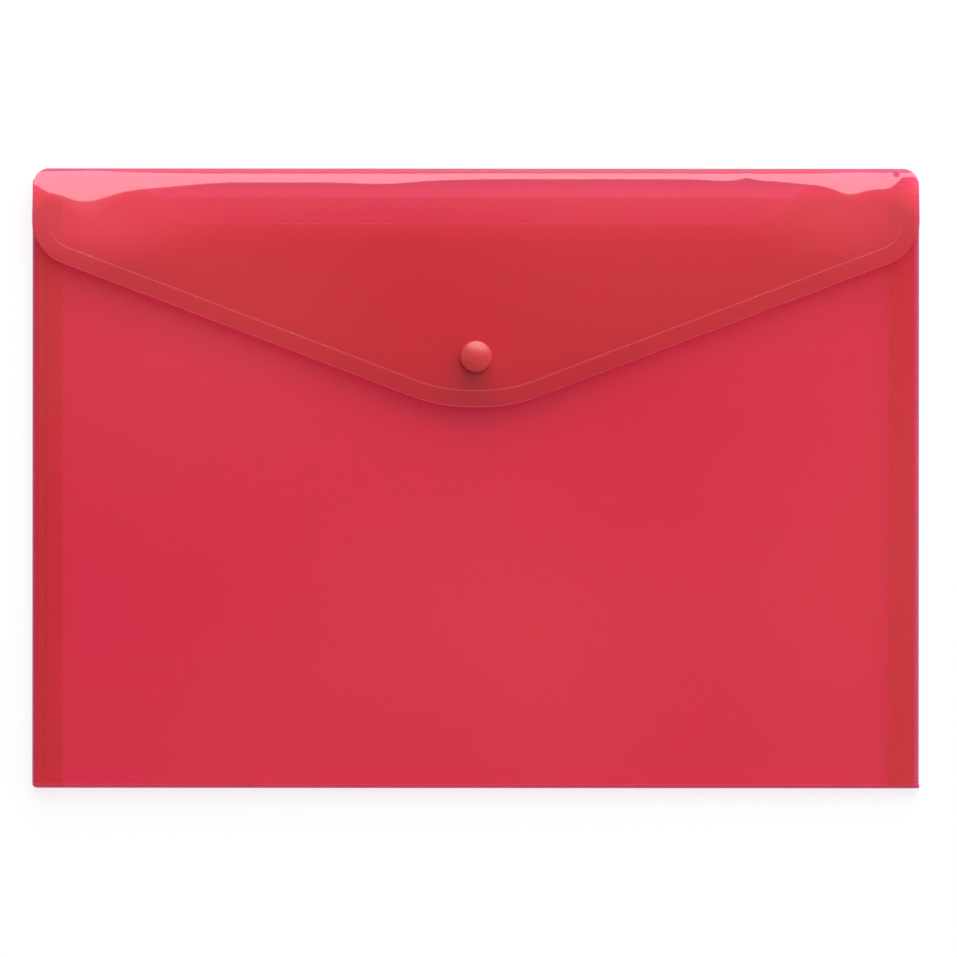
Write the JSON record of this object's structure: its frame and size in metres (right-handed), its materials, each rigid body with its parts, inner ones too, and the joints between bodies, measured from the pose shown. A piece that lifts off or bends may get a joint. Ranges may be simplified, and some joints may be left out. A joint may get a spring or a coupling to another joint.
{
  "type": "document wallet",
  "caption": "Landscape document wallet folded from translucent red plastic film, with welded side tabs and a pointed flap on a living hinge, shut over its papers by a domed press stud.",
  "frame": {"origin": "middle of the wallet's outline, on the table that its back lies on", "axes": "+X across the wallet to the right of its face, +Y up its face to the top fold, +Z out of its face"},
  "size_m": [0.332, 0.232, 0.0114],
  "materials": {
    "red_film": "translucent red film, smooth and glossy, paler along its cut edges and scored lines",
    "red_button": "moulded red plastic, satin gloss"
  },
  "bodies": {
    "pocket": {"back_panel": "red_film", "top_fold": "red_film", "front_panel": "red_film", "bottom_fold": "red_film", "left_side_fold": "red_film", "right_side_fold": "red_film", "left_side_tab": "red_film", "right_side_tab": "red_film", "button_stud": "red_button", "button_back_cap": "red_button"},
    "flap": {"flap": "red_film", "button_cap": "red_button", "button_socket": "red_button"}
  },
  "joints": [
    {"name": "flap_hinge", "type": "hinge", "parent": "pocket", "child": "flap", "pos_m": [0, 0.11152, 0.00447], "axis": [-1, 0, 0], "range_deg": [0, 177], "deforming": ["top_fold"]}
  ]
}
